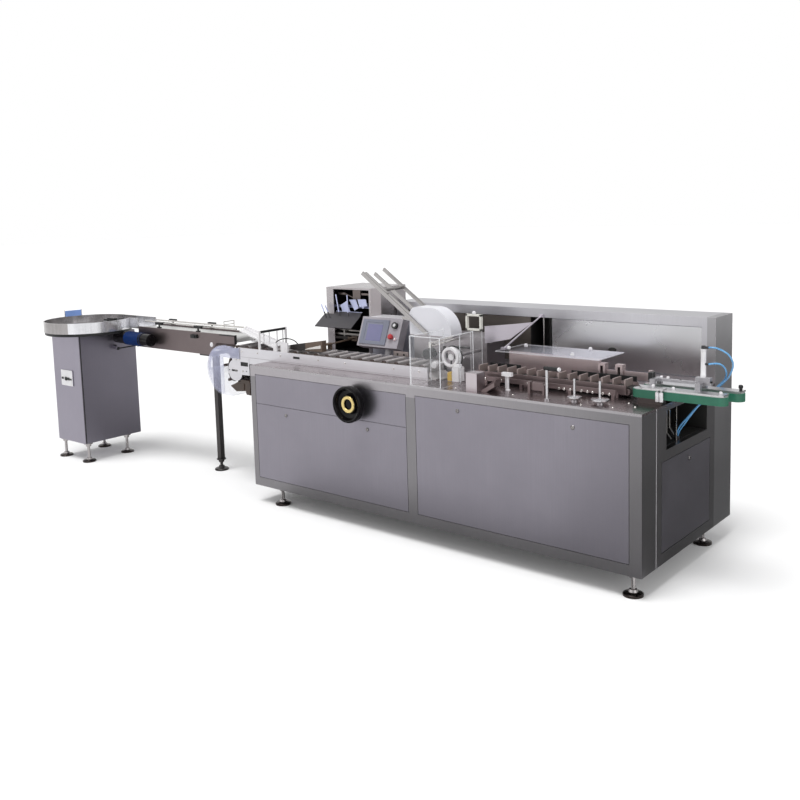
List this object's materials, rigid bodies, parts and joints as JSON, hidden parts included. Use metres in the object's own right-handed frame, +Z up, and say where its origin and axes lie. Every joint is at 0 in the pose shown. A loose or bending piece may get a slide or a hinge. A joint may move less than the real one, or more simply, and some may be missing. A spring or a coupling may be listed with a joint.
{
  "type": "automatic cartoner",
  "caption": "Automatic cartoner: rotary table, transfer conveyor, bucket infeed, leaflet folder, carton magazine, closing lane and discharge belts on a stainless cabinet",
  "frame": {"origin": "on the floor, in the middle of the overall footprint", "axes": "+X along the direction of travel, towards the discharge; +Y to the back; +Z up"},
  "size_m": [5.12, 1.2969, 1.421],
  "materials": {
    "stainless": "brushed stainless sheet",
    "table_steel": "fine brushed stainless plate",
    "lock_steel": "bright plated",
    "foot_steel": "turned stainless",
    "black_plastic": "satin black",
    "brass_ring": "polished",
    "rail_aluminium": "satin anodised",
    "bucket_plastic": "dark brown, matt",
    "sprocket_steel": "machined",
    "clear_acrylic": "clear sheet, polished edges",
    "guide_steel": "bright stainless rod and sheet",
    "frame_steel": "brushed stainless plate",
    "dark_belt": "matt",
    "motor_blue": "gloss paint",
    "tray_steel": "brushed stainless sheet",
    "plough_blue": "smooth",
    "fold_steel": "bright stainless sheet",
    "panel_grey": "light grey powder coat",
    "screen_glass": "dark screen in a grey bezel",
    "button_plastic": "moulded",
    "hood_white": "white sheet",
    "discharge_plate": "satin",
    "green_belt": "smooth flat belt",
    "cylinder_white": "anodised",
    "fitting_black": "moulded",
    "hose_blue": "flexible tube"
  },
  "bodies": {
    "machine": {"base_cabinet": "stainless", "access_panels": "stainless", "rear_cabinet": "stainless", "rear_inset_panels": "stainless", "rotary_cabinet": "stainless", "folder_housing": "stainless", "carton_feeder": "stainless", "table_top": "table_steel", "panel_locks": "lock_steel", "levelling_feet": "foot_steel", "transfer_leg": "foot_steel", "transfer_guides": "black_plastic", "product_holddown": "black_plastic", "infeed_rails": "rail_aluminium", "infeed_end_plates": "rail_aluminium", "magazine_rails": "rail_aluminium", "infeed_chain": "bucket_plastic", "infeed_sprockets": "sprocket_steel", "infeed_end_guard": "clear_acrylic", "clear_guards": "clear_acrylic", "closing_cover": "clear_acrylic", "product_guides": "guide_steel", "guide_trough": "guide_steel", "lane_adjusters": "guide_steel", "transfer_frame": "frame_steel", "carton_lane": "frame_steel", "transfer_belt": "dark_belt", "lug_chain": "dark_belt", "transfer_motor": "motor_blue", "rotary_tray": "tray_steel", "tray_fittings": "plough_blue", "folder_plates": "fold_steel", "operator_panel": "panel_grey", "operator_screen": "screen_glass", "operator_buttons": "button_plastic", "feeder_hood": "hood_white", "discharge_frames": "discharge_plate", "discharge_belts": "green_belt", "ejector": "cylinder_white", "hose_fittings": "fitting_black", "air_hose_outer": "hose_blue", "air_hose_inner": "hose_blue"},
    "handwheel": {"handwheel": "black_plastic", "handwheel_ring": "brass_ring"},
    "rotary_disc": {"rotary_disc": "tray_steel"}
  },
  "joints": [
    {"name": "handwheel_turn", "type": "hinge", "parent": "machine", "child": "handwheel", "pos_m": [0.543, -0.4485, 0.723], "axis": [0, -1, 0], "continuous": true},
    {"name": "disc_turn", "type": "hinge", "parent": "machine", "child": "rotary_disc", "pos_m": [-2.245, -0.3335, 0.95], "axis": [0, 0, 1], "continuous": true}
  ]
}
